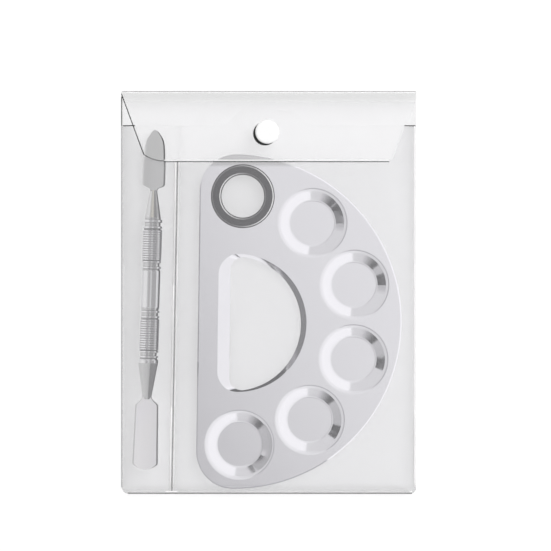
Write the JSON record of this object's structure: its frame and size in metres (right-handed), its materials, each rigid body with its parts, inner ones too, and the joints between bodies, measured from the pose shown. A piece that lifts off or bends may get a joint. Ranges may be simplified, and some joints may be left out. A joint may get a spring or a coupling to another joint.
{
  "type": "pocket mixing palette set",
  "caption": "D-shaped steel mixing palette with round wells and a thumb ring, and a double-ended steel spatula, in a clear film pouch with a flap and a snap.",
  "frame": {"origin": "centre of the pouch's outline, on the surface that its back lies on", "axes": "+Y along the pouch's height towards the flap's fold, +Z out of the front panel, +X to the right as seen from the front"},
  "size_m": [0.137, 0.187, 0.0107],
  "materials": {
    "film": "clear, slightly milky soft film",
    "flap_film": "milky soft film",
    "snap_plastic": "white, smooth",
    "palette_steel": "satin stainless steel",
    "ring_rubber": "dark grey, smooth",
    "spatula_steel": "polished stainless steel"
  },
  "bodies": {
    "pouch": {"back_panel": "film", "front_panel": "film", "top_fold": "flap_film", "snap_stud": "snap_plastic", "stud_rivet": "snap_plastic"},
    "flap": {"flap": "flap_film", "snap_cap": "snap_plastic", "snap_socket": "snap_plastic"},
    "palette": {"palette_plate": "palette_steel", "thumb_ring": "ring_rubber"},
    "spatula": {"spatula_handle": "spatula_steel", "leaf_blade": "spatula_steel", "square_blade": "spatula_steel"}
  },
  "joints": [
    {"name": "flap_hinge", "type": "hinge", "parent": "pouch", "child": "flap", "pos_m": [0, 0.08875, 0.00475], "axis": [-1, 0, 0], "range_deg": [0, 175], "deforming": ["top_fold"]},
    {"name": "palette_slide", "type": "slide", "parent": "pouch", "child": "palette", "axis": [0, 1, 0], "range_m": [0, 0.028]},
    {"name": "spatula_slide", "type": "slide", "parent": "pouch", "child": "spatula", "axis": [0.0311, 0.9995, 0], "range_m": [0, 0.012]}
  ]
}
